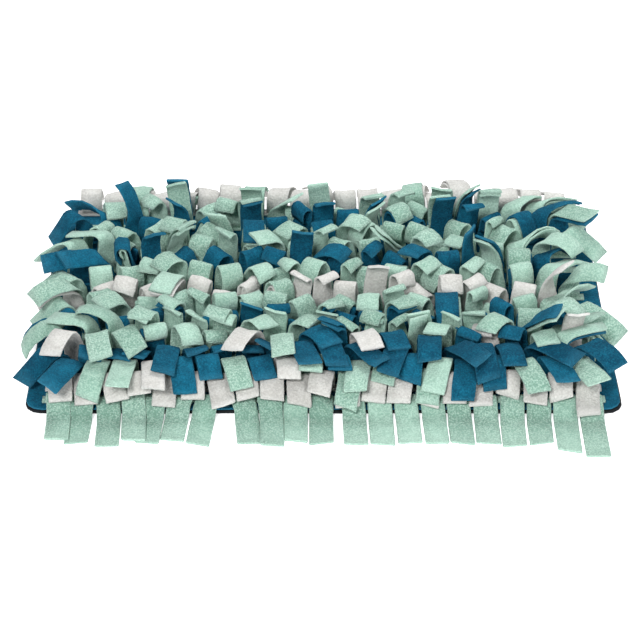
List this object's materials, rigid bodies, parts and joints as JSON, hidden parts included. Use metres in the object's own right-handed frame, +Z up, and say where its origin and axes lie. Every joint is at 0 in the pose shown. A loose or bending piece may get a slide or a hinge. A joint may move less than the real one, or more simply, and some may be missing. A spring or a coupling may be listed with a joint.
{
  "type": "snuffle mat",
  "caption": "Flat rectangular backed cloth mat, covered by rows of cut fleece strips that fall over each other in a loose pile, with a straight fringe on the floor in front.",
  "frame": {"origin": "centre of the backing's underside, on the surface that the mat lies on", "axes": "+X to the right along the mat's long side, +Y to its back, +Z up; the straight fringe on the floor points to -Y"},
  "size_m": [0.7541, 0.6038, 0.102],
  "materials": {
    "black_backing": "matt black non-slip cloth",
    "mint_fleece": "pebbly mint fleece",
    "white_fleece": "soft off-white fleece",
    "blue_fleece": "smooth petrol-blue fleece"
  },
  "bodies": {
    "root": {"backing": "black_backing", "base_cloth": "blue_fleece", "fringe_01": "mint_fleece", "fringe_02": "white_fleece", "fringe_03": "blue_fleece", "fringe_04": "mint_fleece", "fringe_05": "blue_fleece", "fringe_06": "mint_fleece", "fringe_07": "white_fleece", "fringe_08": "mint_fleece", "fringe_09": "blue_fleece", "fringe_10": "mint_fleece", "fringe_11": "mint_fleece", "fringe_12": "blue_fleece", "fringe_13": "mint_fleece", "fringe_14": "white_fleece"}
  },
  "joints": []
}
